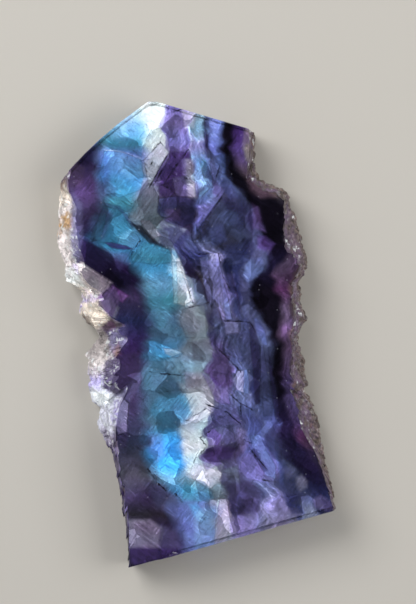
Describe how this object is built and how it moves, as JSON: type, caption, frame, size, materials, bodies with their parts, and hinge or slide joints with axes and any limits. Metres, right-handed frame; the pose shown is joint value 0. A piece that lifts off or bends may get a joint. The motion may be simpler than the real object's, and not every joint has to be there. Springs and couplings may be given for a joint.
{
  "type": "fluorite slab",
  "caption": "Flat slab of banded purple and blue fluorite, polished on its broad faces, with a sawn top and foot and rough crystal crust along its natural edges.",
  "frame": {"origin": "on the flat back face, under the middle of the outline's bounding box", "axes": "+Y up the slab's long side towards the sawn point, +Z out of the polished front face, and +X to the right when the front face is seen with +Y up"},
  "size_m": [0.0764, 0.1262, 0.014],
  "materials": {
    "fluorite": "polished translucent faces banded purple, blue and white, with rough pale and brown crust on the natural edges"
  },
  "bodies": {
    "root": {"fluorite_slab": "fluorite"}
  },
  "joints": []
}
